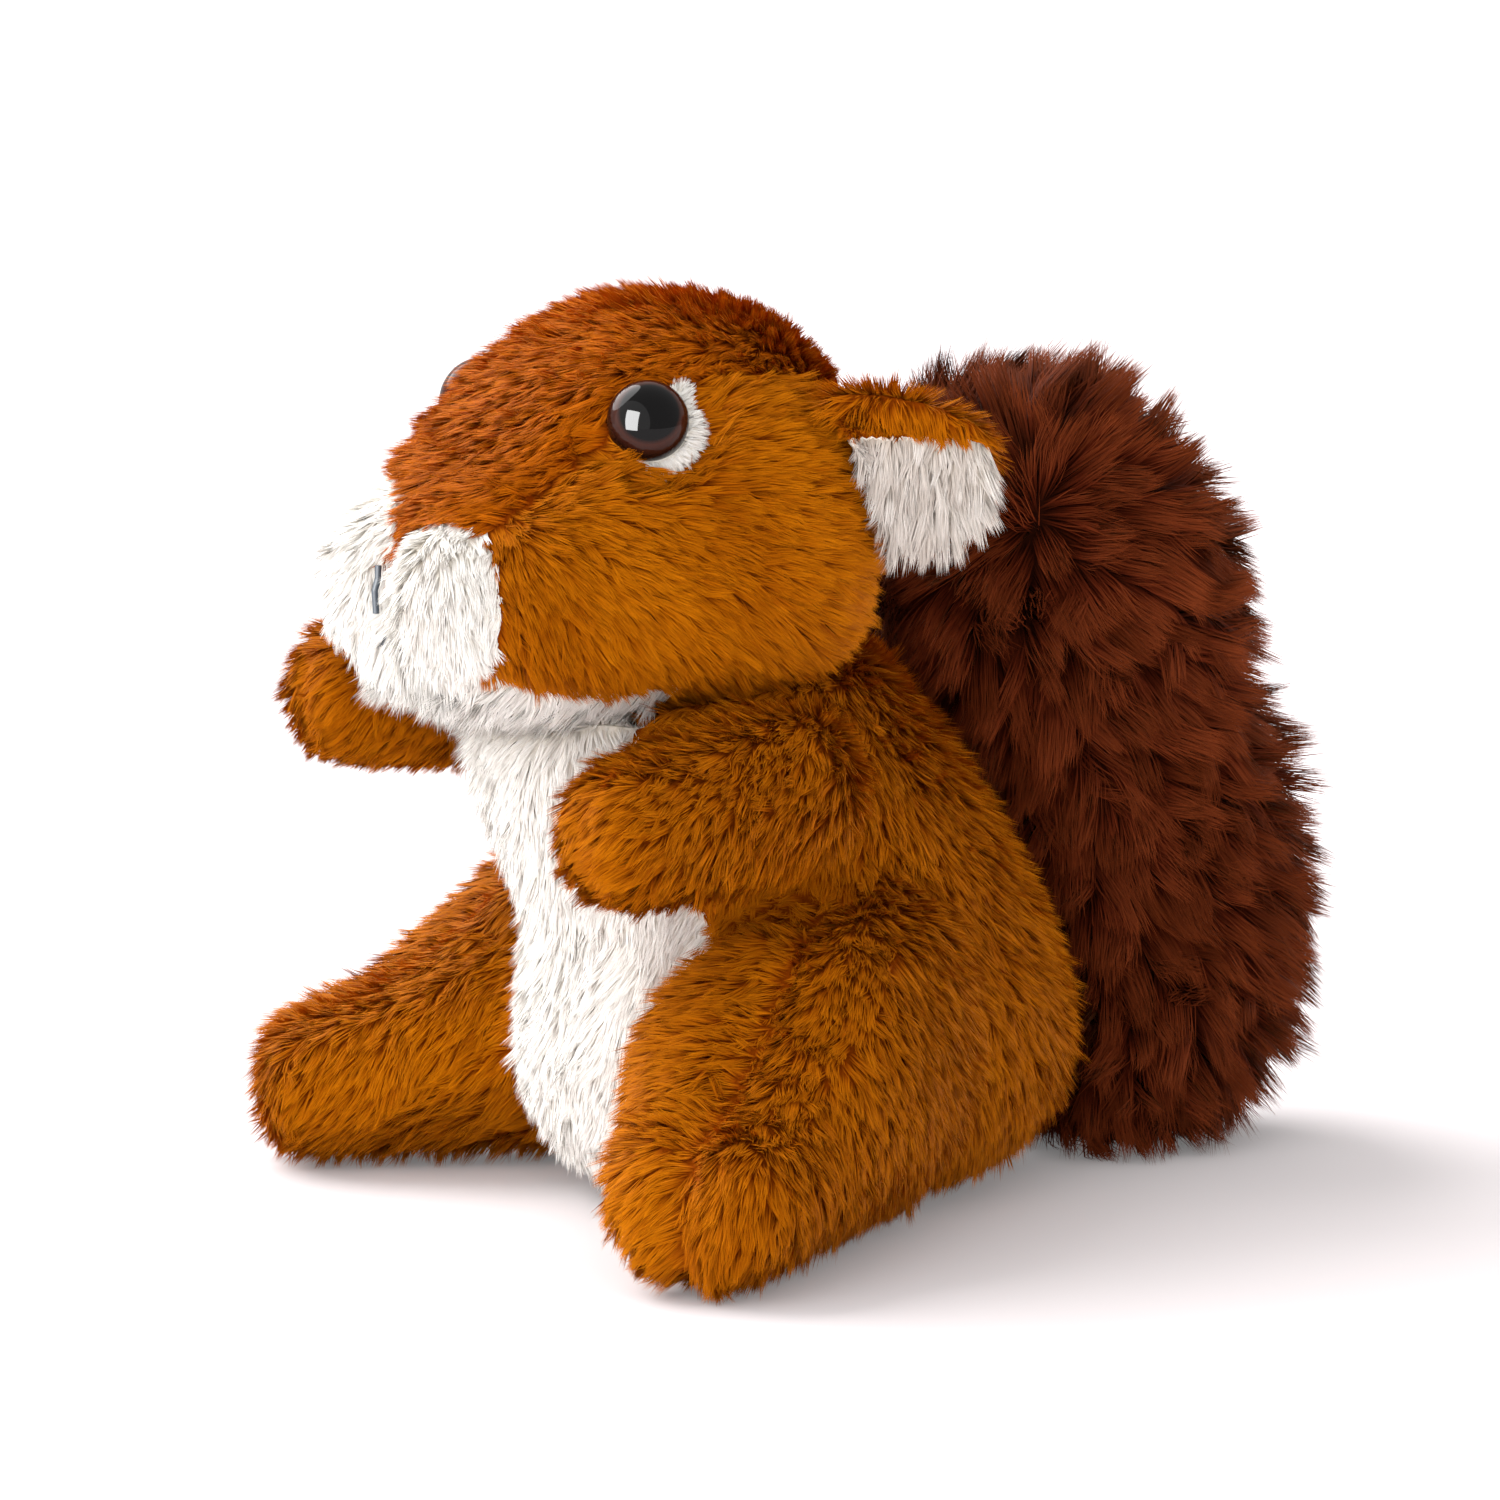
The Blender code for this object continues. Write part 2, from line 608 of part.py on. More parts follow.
def build_eye(name, hand, head):
    """A dome with its shank, the felt behind it, the washer, and the guide that cuts room for them."""
    spot = head.place(polar_at(head, EYE_FROM_NOSE), math.radians(EYE_UP_DEG))
    ahead = math.radians(EYE_AHEAD_DEG)
    tilt = math.radians(EYE_TILT_DEG)
    facing = Vector((math.cos(tilt) * math.cos(ahead), -math.cos(tilt) * math.sin(ahead), math.sin(tilt)))
    spot.x *= hand
    facing.x *= hand
    turn = facing.to_track_quat("Z", "Y").to_matrix().to_4x4()
    place = Matrix.Translation(spot - facing * EYE_SINK) @ turn

    radius = EYE_DIAMETER / 2
    shank = SHANK_DIAMETER / 2
    washer_top = -(FELT_THICKNESS + CLOTH_AT_EYE + 3 * GAP)
    dome = [(0, -SHANK_LENGTH), (shank, -SHANK_LENGTH), (shank, 0), (radius - EYE_RIM / 2, 0)]
    for step in range(DOME_STEPS):
        rise = math.pi / 2 * step / DOME_STEPS
        dome.append((radius * math.cos(rise), EYE_RIM + EYE_DOME * math.sin(rise)))
    dome.append((0, EYE_RIM + EYE_DOME))
    eye = spun(dome, ROUND_STEPS)

    hole = shank + GAP
    felt = spun(ring_profile(hole, FELT_DIAMETER / 2, -GAP - FELT_THICKNESS, -GAP), ROUND_STEPS)
    behind = (turn.inverted() @ (Y - Z).to_4d()).to_3d()
    behind = Vector((behind.x, behind.y, 0)).normalized()
    for vert in felt.verts:
        if vert.co.xy.length > (hole + FELT_DIAMETER / 2) / 2:
            vert.co += behind * FELT_SHIFT
    washer = spun(
        ring_profile(hole, WASHER_DIAMETER / 2, washer_top - WASHER_THICKNESS, washer_top), ROUND_STEPS
    )

    wide = FELT_DIAMETER / 2 + FELT_SHIFT + GAP
    washer_wide = WASHER_DIAMETER / 2 + GAP
    room = spun(
        [
            (0, -SHANK_LENGTH - GAP),
            (hole, -SHANK_LENGTH - GAP),
            (hole, washer_top - WASHER_THICKNESS - GAP),
            (washer_wide, washer_top - WASHER_THICKNESS - GAP),
            (washer_wide, washer_top + GAP),
            (hole, washer_top + GAP),
            (hole, -FELT_THICKNESS - 2 * GAP),
            (wide, -FELT_THICKNESS - 2 * GAP),
            (wide, EYE_DIAMETER),
            (0, EYE_DIAMETER),
        ],
        ROUND_STEPS,
    )
    for shape in (eye, felt, washer, room):
        shape.transform(place)
    add(f"{name}_eye", eye, EYE_BLACK, EYE_ROUGHNESS)
    add(f"{name}_eye_felt", felt, FELT)
    add(f"{name}_eye_washer", washer, WASHER_WHITE, WASHER_ROUGHNESS)
    return guide(f"{name}_eye_room", room)


def ring_profile(inner, outer, low, high):
    """The section of a flat ring."""
    return [(inner, low), (outer, low), (outer, high), (inner, high)]


def tube(points, radius):
    """A bmesh of a thread through these points, with closed ends."""
    curve = bpy.data.curves.new("thread", "CURVE")
    curve.dimensions = "3D"
    curve.bevel_depth = radius
    curve.bevel_resolution = 1
    curve.use_fill_caps = True
    spline = curve.splines.new("POLY")
    spline.points.add(len(points) - 1)
    for target, point in zip(spline.points, points):
        target.co = (*point, 1)
    holder = bpy.data.objects.new("thread", curve)
    shape = bmesh.new()
    mesh = bpy.data.meshes.new_from_object(holder)
    shape.from_mesh(mesh)
    bpy.data.objects.remove(holder)
    bpy.data.meshes.remove(mesh)
    bmesh.ops.remove_doubles(shape, verts=shape.verts, dist=MERGE)
    return shape


def build_stitches(head):
    """The nose and mouth threads, and the guides that cut grooves for them."""
    nose = [
        head.place(math.radians(abs(step)), math.radians(90 if step > 0 else -90))
        for step in (NOSE_UP_DEG, NOSE_UP_DEG / 2, 0, -NOSE_DOWN_DEG)
    ]
    mouth = []
    for step in range(-MOUTH_STEPS, MOUTH_STEPS + 1):
        share = step / MOUTH_STEPS
        polar = NOSE_DOWN_DEG + MOUTH_DROP_DEG + MOUTH_REACH_DEG * abs(share)
        mouth.append(head.place(math.radians(polar), math.radians(-90 + MOUTH_TURN_DEG * share)))
    grooves = []
    for name, points in (("nose_stitch", nose), ("mouth_stitch", mouth)):
        add(name, tube(points, THREAD / 2), THREAD_SLATE)
        grooves.append(guide(f"{name}_groove", tube(lengthened(points, GAP), THREAD / 2 + GAP)))
    return grooves


def lengthened(points, extra):
    """The same points with both ends moved outwards along the line."""
    first = points[0] + (points[0] - points[1]).normalized() * extra
    last = points[-1] + (points[-1] - points[-2]).normalized() * extra
    return [first, *points[1:-1], last]


def main():
    for item in list(bpy.data.objects):
        bpy.data.objects.remove(item)
    forms = build_forms()
    head = forms["head"]
    head_pieces, head_filling = build_head(head)
    head_envelope = guide("head_envelope", head.mesh(*HEAD_GRID, offset=GAP))
    body_pieces, body_envelope = build_body(forms)
    cut(body_pieces, head_envelope)
    cut(build_tail(forms["tail"]), body_envelope)
    grooves = build_stitches(head)
    for piece in head_pieces:
        if "cheek" not in piece.name:
            cut([piece], *grooves)
    for name, hand in HANDS.items():
        leg_envelope = bpy.data.objects[f"{name}_leg_envelope"]
        cut(build_arm(name, forms[f"{name}_arm"]), body_envelope, head_envelope, leg_envelope)
        cut(build_ear(name, forms[f"{name}_ear"]), head_envelope)
        room = build_eye(name, hand, head)
        around_eye = [piece for piece in head_pieces if piece.name in ("head_gusset", f"{name}_cheek_panel")]
        cut([*around_eye, head_filling], room)


main()
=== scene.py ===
"""The looks of a small plush squirrel: its pile, eyes, felt and thread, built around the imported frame.

It sits at the origin on the ground, faces -Y and has its left side at +X. Lengths are in metres.
Each stuffed part gets one rounded skin, and tapered locks of fibre grow from the skin, panel by panel.
"""

import math

import bmesh
import bpy
import numpy as np
from mathutils import Matrix, Vector
from mathutils.bvhtree import BVHTree
from mathutils.kdtree import KDTree


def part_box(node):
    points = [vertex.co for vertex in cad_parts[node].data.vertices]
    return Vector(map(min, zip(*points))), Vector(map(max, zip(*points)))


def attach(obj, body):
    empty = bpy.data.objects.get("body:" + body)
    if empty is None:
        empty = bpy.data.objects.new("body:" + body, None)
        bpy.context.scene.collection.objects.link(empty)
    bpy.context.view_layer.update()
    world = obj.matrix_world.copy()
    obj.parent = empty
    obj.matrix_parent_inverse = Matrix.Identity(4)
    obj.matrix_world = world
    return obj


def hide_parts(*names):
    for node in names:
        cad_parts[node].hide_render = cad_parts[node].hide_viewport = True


MM = 0.001
SEED = 7

# Camera: what it looks at, from where, and how much of the view that distance shows
AIM = Vector((0.0, 0.0, 55.0)) * MM
TOWARDS_CAMERA = Vector((0.82153, -0.55204, 0.14263))
CAMERA_DISTANCE = 800.0 * MM
VIEW_WIDTH = 187.5 * MM
SENSOR_MM = 36.0
SHIFT_X = -0.0309
SHIFT_Y = 0.0012

# Skins: the remesh's cell, its rounds of smoothing, the crease at a seam and how far it reaches
VOXEL = 1.4 * MM
EAR_VOXEL = 0.9 * MM
SOFTENING = 10
CREASE = 0.5 * MM
BODY_CREASE = 1.2 * MM
SEAM_WIDTH = 2.2 * MM

# How far each skin lies inside its solids, which are as thick as the cloth with its pile
SUNK = {"head": 2.0 * MM, "body": 2.0 * MM, "tail": 4.8 * MM, "arm": 1.8 * MM, "ear": 1.2 * MM}

# Muzzle, in mm: the gusset's tip, and how far the patches swell, the valley sinks and the throat drops
TIP_HEIGHT = 81
TIP_RISE = 7.5
TIP_REACH = 3.5
RIGHT_PATCH_HIGHER = 4.5
RIGHT_PATCH_EDGE = -1.5
FACE_EDGE = -40
PATCH_SWELL = 3.2
VALLEY_DEPTH = 1.4
THROAT_DROP = 2.0

# Ears: the height in mm above which the brown back is rolled over the front
EAR_EDGE = 96.5

# Tail, in mm: how far it is filled out ahead, and how deep the notch is under the bulge behind
TAIL_AHEAD = 6.5
TAIL_NOTCH = 1.5

# Body: the neck's rise in mm and the heights where it begins, and the thighs' middle, reach and swelling
NECK_RISE = 1.2
NECK_FROM = 60 * MM
NECK_TO = 68 * MM
THIGHS = (((22, -38, 26), 12, 3.6), ((-25, -37, 36), 12, -6.0))

# Feet: the height up to which the pile hides the seams, and a distance that counts as far from any seam
TOE_HEIGHT = 15.0 * MM
NO_SEAM = 10 * SEAM_WIDTH

# Light: strength of the surround and of the two suns
SURROUND = 0.95
KEY = 4.4
FILL = 2.2

# Window lamp: its width and height, its distance and its power
WINDOW_SIZE = (0.5, 0.7)
WINDOW_DISTANCE = 0.9
WINDOW_POWER = 60.0

# Floor: its size, its paper's colour for the light and for the camera, and white added for the camera
FLOOR_SIZE = 6.0
PAPER = (0.9, 0.87, 0.88, 1.0)
PAPER_SEEN = (0.62, 0.575, 0.58, 1.0)
FLOOR_LIFT = 0.14

# Eyes: the dome, the fibres' distance from it, and the dent in the skin that it sits in
EYE_RADIUS = 4.9 * MM
EYE_HEIGHT = 4.5 * MM
TOWARDS = {"left": Vector((1.0, -0.5, 0.5)), "right": Vector((-1.0, -0.5, 0.5))}
EYE_CLEAR = 5.0 * MM
DENT_DEPTH = 0.5 * MM
DENT_INNER = 6.5 * MM
DENT_OUTER = 9.5 * MM

# White beside an eye, as hills over the angle: height in mm, then the middle and reach in degrees
CRESCENT = ((1.7, -30, 45), (1.9, 30, 11), (1.2, -80, 32))
CRESCENT_SUNK = 0.4

# Pile's look: how far its shading follows the cloth, and how many stripes there are and a fibre shows
SOFT_NORMALS = 0.7
STRIPES = 60.0
STRIPES_ACROSS = 0.08

# Pile's lie: waves of this length and strength in the comb, and the parting at a seam and its reach
LIE_WAVES = ((18 * MM, 0.22), (7 * MM, 0.12))
PARTING = 0.7
PARTING_WIDTH = 1.4 * MM

# Fibres: range of length between locks and within one, shortening at a seam, and pull to the lock's tip
LOCK_REACH = (0.75, 1.15)
FIBRE_REACH = (0.7, 1.05)
SEAM_SHORTER = 0.35
LOCK_PULL = (0.5, 1.0)
MIDDLE_PULL = 0.35

# Nearest that a fibre comes to the ground
GROUND_CLEAR = 0.1 * MM

# Pile's shade: how much single fibres and long waves change it, and its least and most
FIBRE_SHADE = 0.09
SHADE_WAVE = 22 * MM
SHADE_WAVE_STRENGTH = 0.1
SHADE_RANGE = (0.02, 0.9)

HANDS = ("left", "right")
UP = Vector((0.0, 0.0, 1.0))

random = np.random.default_rng(SEED)


def colour(code):
    """The linear colour of an sRGB hex code."""
    parts = [int(code[at : at + 2], 16) / 255 for at in (1, 3, 5)]
    return (*[part / 12.92 if part <= 0.04045 else ((part + 0.055) / 1.055) ** 2.4 for part in parts], 1.0)


def node(tree, kind, settings=None, **links):
    """Adds a node, with its settings, and its inputs linked from sockets or set to values."""
    made = tree.nodes.new(kind)
    for name, value in (settings or {}).items():
        setattr(made, name, value)
    for name, value in links.items():
        socket = made.inputs[int(name[1:])] if name[1:].isdigit() else made.inputs[name.replace("_", " ")]
        if isinstance(value, bpy.types.NodeSocket):
            tree.links.new(value, socket)
        else:
            socket.default_value = value
    return made


def principled(name, **values):
    """A material with one Principled shader, these values on its sockets, and its node tree."""
    made = bpy.data.materials.new(name)
    made.use_nodes = True
    shader = made.node_tree.nodes["Principled BSDF"]
    for socket, value in values.items():
        shader.inputs[socket.replace("_", " ")].default_value = value
    return made, made.node_tree, shader


def ramp(tree, factor, stops):
    """A colour ramp through (place, colour) stops."""
    made = node(tree, "ShaderNodeValToRGB", Fac=factor)
    while len(made.color_ramp.elements) < len(stops):
        made.color_ramp.elements.new(0.5)
    for element, (place, shade) in zip(made.color_ramp.elements, stops):
        element.position = place
        element.color = shade
    return made.outputs["Color"]


def pile_material(name, root, middle, tip, deep, pale, glow):
    """Dyed polyester pile. The eye gets dark roots, painted shade deep in the pile, between silky locks that
    end paler, partly painted highlight, no two alike.

    Along a fibre V runs from root to tip. U tells the fibres of one lock from those of another, and
    its fine stripes split each modelled fibre into several thinner ones. glow is the fuzz's own tint.
    """
    made, tree, shader = principled(
        name, Roughness=0.6, Specular_IOR_Level=0.08, Specular_Tint=glow, Sheen_Tint=glow, Sheen_Weight=0.3
    )
    place = node(tree, "ShaderNodeUVMap", {"uv_map": "OFBake"})
    parts = node(tree, "ShaderNodeSeparateXYZ", Vector=place.outputs["UV"])
    # Darker towards the root: painted shade deep in the pile; the paler tips are partly painted highlight
    along = ramp(tree, parts.outputs["Y"], [(0.0, root), (0.4, middle), (1.0, tip)])
    shade = ramp(tree, parts.outputs["X"], [(0.0, deep), (1.0, pale)])
    stripes = node(
        tree,
        "ShaderNodeTexNoise",
        {"noise_dimensions": "1D"},
        W=parts.outputs["X"],
        Scale=STRIPES,
        Detail=0.0,
    )
    streak = node(tree, "ShaderNodeMapRange", _0=stripes.outputs["Fac"], _1=0.3, _2=0.7, _3=0.8, _4=1.15)
    mix = {"data_type": "RGBA", "blend_type": "MULTIPLY"}
    shaded = node(tree, "ShaderNodeMix", mix, _0=1.0, _6=along, _7=shade)
    streaked = node(tree, "ShaderNodeMix", mix, _0=1.0, _6=shaded.outputs[2], _7=streak.outputs[0])
    tree.links.new(streaked.outputs[2], shader.inputs["Base Color"])
    return made


def link(piece, body="root"):
    """Puts a piece in the scene, and lets it ride on the toy's one body."""
    bpy.context.scene.collection.objects.link(piece)
    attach(piece, body)
    return piece


def solids(nodes):
    """The CAD solids of these nodes as one bmesh, merged."""
    shape = bmesh.new()
    for name in nodes:
        shape.from_mesh(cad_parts[name].data)
    bmesh.ops.remove_doubles(shape, verts=shape.verts, dist=0.001 * MM)
    return shape


def rounded(nodes, voxel):
    """One closed, softened skin around the CAD solids of these nodes."""
    shape = solids(nodes)
    mesh = bpy.data.meshes.new("solids")
    shape.to_mesh(mesh)
    holder = bpy.data.objects.new("solids", mesh)
    bpy.context.scene.collection.objects.link(holder)
    remesh = holder.modifiers.new("one skin", "REMESH")
    remesh.mode = "VOXEL"
    remesh.voxel_size = voxel
    soften = holder.modifiers.new("soften", "SMOOTH")
    soften.iterations = SOFTENING
    soft = bpy.data.meshes.new_from_object(holder.evaluated_get(bpy.context.evaluated_depsgraph_get()))
    bpy.data.objects.remove(holder)
    return soft


class Skin:
    """A stuffed part's rounded surface, which its pile stands on.

    It lies inside its solids by depth, and deeper by crease at a seam. shaping moves its vertices, and
    trimmed changes which panel a triangle belongs to.
    """

    def __init__(
        self, name, nodes, fillings, slot, depth, voxel=VOXEL, shaping=None, crease=CREASE, trimmed=None
    ):
        self.name = name
        self.nodes = nodes
        self.mesh = rounded([*nodes, *fillings], voxel)
        self.places = read(self.mesh.vertices, "co", 3)
        self.normals = read(self.mesh.vertices, "normal", 3)
        self.mesh.calc_loop_triangles()
        self.corners = read(self.mesh.loop_triangles, "vertices", 3, np.int32)
        self.polygons = read(self.mesh.loop_triangles, "polygon_index", 1, np.int32)[:, 0]
        self.label(trimmed)
        self.find_seams()
        seam = hill(self.near_seam, 0.0, SEAM_WIDTH)
        moved = self.places - self.normals * (depth + crease * seam)[:, None]
        if shaping:
            moved = shaping(moved, self.normals)
        self.mesh.vertices.foreach_set("co", moved.astype(np.float32).ravel())
        self.mesh.update()
        self.mesh.shade_smooth()
        self.places = read(self.mesh.vertices, "co", 3)
        self.normals = read(self.mesh.vertices, "normal", 3)
        self.piece = link(bpy.data.objects.new(name, self.mesh))
        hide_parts(*nodes, *fillings)

    def label(self, trimmed):
        """Gives each triangle the number of the nearest CAD panel, with trimmed's changes."""
        trees = []
        for name in self.nodes:
            shape = solids([name])
            trees.append(BVHTree.FromBMesh(shape))
            shape.free()
        middles = self.places[self.corners].mean(axis=1)
        gaps = [[tree.find_nearest(middle)[3] for tree in trees] for middle in middles]
        self.labels = np.argmin(gaps, axis=1)
        if trimmed:
            self.labels = trimmed(self.labels, middles / MM)

    def find_seams(self):
        """Measures how far each vertex is from the nearest seam between two panels, and which way."""
        lowest = np.full(len(self.places), len(self.nodes))
        highest = np.full(len(self.places), -1)
        for column in range(3):
            np.minimum.at(lowest, self.corners[:, column], self.labels)
            np.maximum.at(highest, self.corners[:, column], self.labels)
        seams = search_tree(self.places[lowest != highest])
        found = [seams.find(place) for place in self.places]
        self.near_seam = np.array([distance for _, _, distance in found])
        self.from_seam = self.places - np.array([place for place, _, _ in found])


def read(items, name, width, kind=np.float32):
    """A Blender collection's values as a numpy array."""
    values = np.empty(len(items) * width, kind)
    items.foreach_get(name, values)
    return values.reshape(-1, width).astype(float if kind is np.float32 else kind)


def search_tree(places):
    """A tree that finds the nearest of these places, and its number."""
    tree = KDTree(len(places))
    for number, place in enumerate(places):
        tree.insert(place, number)
    tree.balance()
    return tree


def hill(values, middle, reach):
    """A smooth hill, 1 at the middle and about a third at this reach from it."""
    return np.exp(-(((values - middle) / reach) ** 2))


def unit(vectors):
    """The vectors at length one."""
    return vectors / np.maximum(np.linalg.norm(vectors, axis=1, keepdims=True), 1e-9)


def waves(places, length):
    """A smooth random vector at each place, which changes over about this length."""
    total = np.zeros_like(places)
    for _ in range(5):
        heading = unit(random.normal(size=(1, 3)))[0] * math.tau / length * random.uniform(0.7, 1.4)
        total += np.sin(places @ heading + random.uniform(0, math.tau))[:, None] * random.normal(size=3)
    return total / 3


def strand(steps):
    """A flat leaf from (0, 0) to its point at (0, 1): where its vertices are, and its faces as indices."""
    shape = bmesh.new()
    bmesh.ops.create_grid(shape, x_segments=1, y_segments=steps, size=0.5)
    bmesh.ops.translate(shape, vec=(0.0, 0.5, 0.0), verts=shape.verts)
    top = [vert for vert in shape.verts if vert.co.y > 1 - 0.5 / steps]
    bmesh.ops.pointmerge(shape, verts=top, merge_co=(0.0, 1.0, 0.0))
    shape.verts.index_update()
    spots = np.array([vert.co[:2] for vert in shape.verts])
    faces = [[vert.index for vert in face.verts] for face in shape.faces]
    if min(face.normal.z for face in shape.faces) < 0:
        faces = [face[::-1] for face in faces]
    shape.free()
    return spots, faces


def grow(
    name,
    skin,
    nodes,
    slot,
    look,
    comb,
    density,
    length,
    width=0.24 * MM,
    lean=62.0,
    lock=1.15 * MM,
    gather=0.5,
    stir=0.2,
    steps=1,
    within=None,
    parting=PARTING,
    tone=0.5,
    mottle=0.12,
):
    """Pile of this many fibres per square millimetre on some of a skin's panels, as one mesh.

    comb gives the way that the pile lies at each place. lean is its angle from upright. Fibres gather
    in locks of about this size, and each lock strays from the comb by stir. Beside a seam they lie away
    from it by parting. tone is how pale the pile is within its material's range, from 0 to 1, and mottle
    is how much the locks differ in it.
    """
    wanted = np.isin(skin.labels, [skin.nodes.index(panel) for panel in nodes])
    corners = skin.corners[wanted]
    a, b, c = (skin.places[corners[:, column]] for column in range(3))
    areas = np.linalg.norm(np.cross(b - a, c - a), axis=1) / 2
    count = int(areas.sum() / MM**2 * density)
    chosen = corners[random.choice(len(areas), size=count, p=areas / areas.sum())]
    first, second = random.random((2, count, 1))
    folded = first + second > 1
    first, second = np.where(folded, 1 - first, first), np.where(folded, 1 - second, second)
    shares = (1 - first - second, first, second)
    roots = sum(share * skin.places[chosen[:, k]] for k, share in enumerate(shares))
    normals = unit(sum(share * skin.normals[chosen[:, k]] for k, share in enumerate(shares)))
    seam = sum(share[:, 0] * skin.near_seam[chosen[:, k]] for k, share in enumerate(shares))
    kept = (within or outside_eyes)(roots)
    roots, normals, seam = roots[kept], normals[kept], seam[kept]
    count = len(roots)

    aside = unit(sum(share * skin.from_seam[chosen[:, k]] for k, share in enumerate(shares))[kept])
    aside *= hill(seam, 0.0, PARTING_WIDTH)[:, None] * parting
    lay = comb(roots)
    for distance, strength in LIE_WAVES:
        lay = lay + waves(roots, distance) * strength
    lay = lay + aside
    lay -= normals * np.sum(lay * normals, axis=1, keepdims=True)
    flat = np.minimum(np.linalg.norm(lay, axis=1, keepdims=True) / 0.4, 1.0)
    lay = unit(lay)

    heads = random.choice(count, size=max(int(areas.sum() / lock**2), 1), replace=False)
    tree = search_tree(roots[heads])
    owner = np.array([tree.find(root)[1] for root in roots])

    stray = (random.normal(size=(len(heads), 3)) * stir)[owner]
    tilt = math.radians(lean)
    heading = normals * math.cos(tilt) + lay * flat * math.sin(tilt)
    start = unit(heading + normals * 0.35 + stray * 0.5 + random.normal(size=(count, 3)) * 0.1)
    end = unit(heading - normals * 0.1 + stray + random.normal(size=(count, 3)) * 0.12)
    reach = random.uniform(*LOCK_REACH, len(heads))[owner] * random.uniform(*FIBRE_REACH, count)
    lengths = length * reach * (1 - SEAM_SHORTER * hill(seam, 0.0, SEAM_WIDTH))
    tips = roots + (start * 0.45 + end * 0.55) * lengths[:, None]
    lock_tips = tips[heads][owner]
    pull = gather * random.uniform(*LOCK_PULL, count)[:, None]
    tips = tips * (1 - pull) + lock_tips * pull
    middles = roots + start * (lengths / 2)[:, None]
    lock_middles = (roots[heads][owner] + lock_tips) / 2
    middles = middles * (1 - pull * MIDDLE_PULL) + lock_middles * pull * MIDDLE_PULL

    spots, faces = strand(steps)
    across, along = spots[:, 0], spots[:, 1]
    t = along[None, :, None]
    line = roots[:, None] * (1 - t) ** 2 + 2 * middles[:, None] * t * (1 - t) + tips[:, None] * t**2
    for eye in eyes.values():
        away = line - eye.middle
        gap = np.linalg.norm(away, axis=2, keepdims=True)
        line = np.where(gap < EYE_CLEAR, eye.middle + away / np.maximum(gap, 1e-9) * EYE_CLEAR, line)
    line[:, :, 2] = np.maximum(line[:, :, 2], GROUND_CLEAR)
    facing = unit(normals + random.normal(size=(count, 3)) * 0.4)
    side = unit(np.cross(facing, tips - roots))
    breadth = width * random.uniform(0.7, 1.3, count)
    taper = (1 - along**2) * across
    cloud = line - side[:, None] * (breadth[:, None] * taper[None])[:, :, None]
    flat_on = unit(np.cross(tips - roots, side))
    shading = unit(flat_on * (1 - SOFT_NORMALS) + normals * SOFT_NORMALS)

    shade = tone + (random.normal(size=len(heads)) * mottle)[owner] + random.normal(size=count) * FIBRE_SHADE
    shade = np.clip(shade + waves(roots, SHADE_WAVE)[:, 0] * SHADE_WAVE_STRENGTH, *SHADE_RANGE)
    return pile_mesh(name, cloud, shading, faces, along, across, shade, look)


def pile_mesh(name, cloud, shading, faces, along, across, shade, look):
    """One mesh of many equal strands, whose vertex places are cloud[strand, vertex]."""
    count, size = cloud.shape[:2]
    template = np.concatenate(faces)
    starts = np.cumsum([0] + [len(face) for face in faces])[:-1]
    corners = (np.arange(count)[:, None] * size + template).ravel()
    firsts = (np.arange(count)[:, None] * len(template) + starts).ravel()
    mesh = bpy.data.meshes.new(name)
    mesh.vertices.add(count * size)
    mesh.vertices.foreach_set("co", cloud.astype(np.float32).ravel())
    mesh.loops.add(len(corners))
    mesh.loops.foreach_set("vertex_index", corners.astype(np.int32))
    mesh.polygons.add(len(firsts))
    mesh.polygons.foreach_set("loop_start", firsts.astype(np.int32))
    uv = mesh.uv_layers.new(name="OFBake")
    places = np.empty((count, len(template), 2), np.float32)
    places[:, :, 0] = shade[:, None] + (across[template] + 0.5) * STRIPES_ACROSS
    places[:, :, 1] = 0.02 + 0.96 * along[template]
    uv.data.foreach_set("uv", places.ravel())
    mesh.update(calc_edges=True)
    mesh.shade_smooth()
    mesh.normals_split_custom_set_from_vertices(np.repeat(shading, size, axis=0).astype(np.float32))
    mesh.materials.append(look)
    piece = link(bpy.data.objects.new(name, mesh))
    return piece


def outside_eyes(roots):
    """Which of these places lie clear of the eyes and of the white that shows beside them."""
    kept = np.ones(len(roots), bool)
    for eye in eyes.values():
        kept &= eye.gap(roots) > 0
    return kept


def combed(steady, centre=(0.0, 0.0, 0.0), spread=0.0):
    """A comb that lays pile along one direction, and by spread away from a centre in mm.

    Both are given for the left side, and mirrored on the right.
    """
    steady = np.array(steady)
    centre = np.array(centre) * MM

    def comb(places):
        mirror = np.where(places[:, :1] < 0, -1.0, 1.0) * (1, 0, 0) + (0, 1, 1)
        return (steady + unit(places * mirror - centre) * spread) * mirror

    return comb


